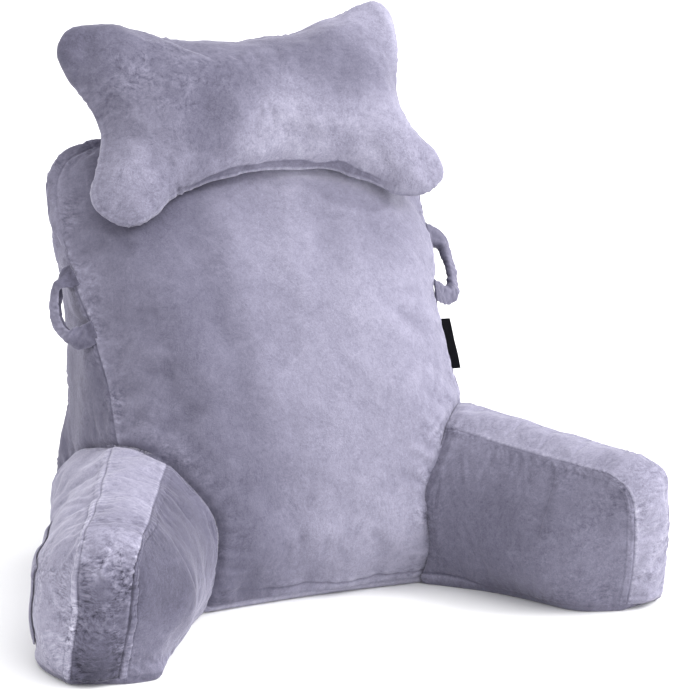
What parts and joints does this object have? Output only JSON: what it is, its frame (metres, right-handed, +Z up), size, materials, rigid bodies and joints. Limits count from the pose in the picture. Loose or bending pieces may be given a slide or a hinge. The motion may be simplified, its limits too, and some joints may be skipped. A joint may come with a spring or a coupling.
{
  "type": "bed rest reading pillow with arms and neck pillow",
  "caption": "Backrest pillow for sitting up in bed: wedge back, splayed padded arms, bone-shaped neck pillow, strap handles, side label and a flat side pocket.",
  "frame": {"origin": "middle of the whole footprint, on the surface it stands on", "axes": "+X towards the arm on the right as seen from the front, +Y towards the rear panel, +Z up; the sitter faces -Y"},
  "size_m": [0.7846, 0.5678, 0.6467],
  "materials": {
    "back_velvet": "matte",
    "arm_velvet": "matte",
    "neck_velvet": "matte",
    "strap_velvet": "matte",
    "pocket_velvet": "matte",
    "label_ribbon": "matte"
  },
  "bodies": {
    "root": {"backrest": "back_velvet", "arm_left": "arm_velvet", "arm_right": "arm_velvet", "neck_pillow": "neck_velvet", "handle_left": "strap_velvet", "handle_right": "strap_velvet", "label": "label_ribbon", "pocket_left": "pocket_velvet"}
  },
  "joints": []
}
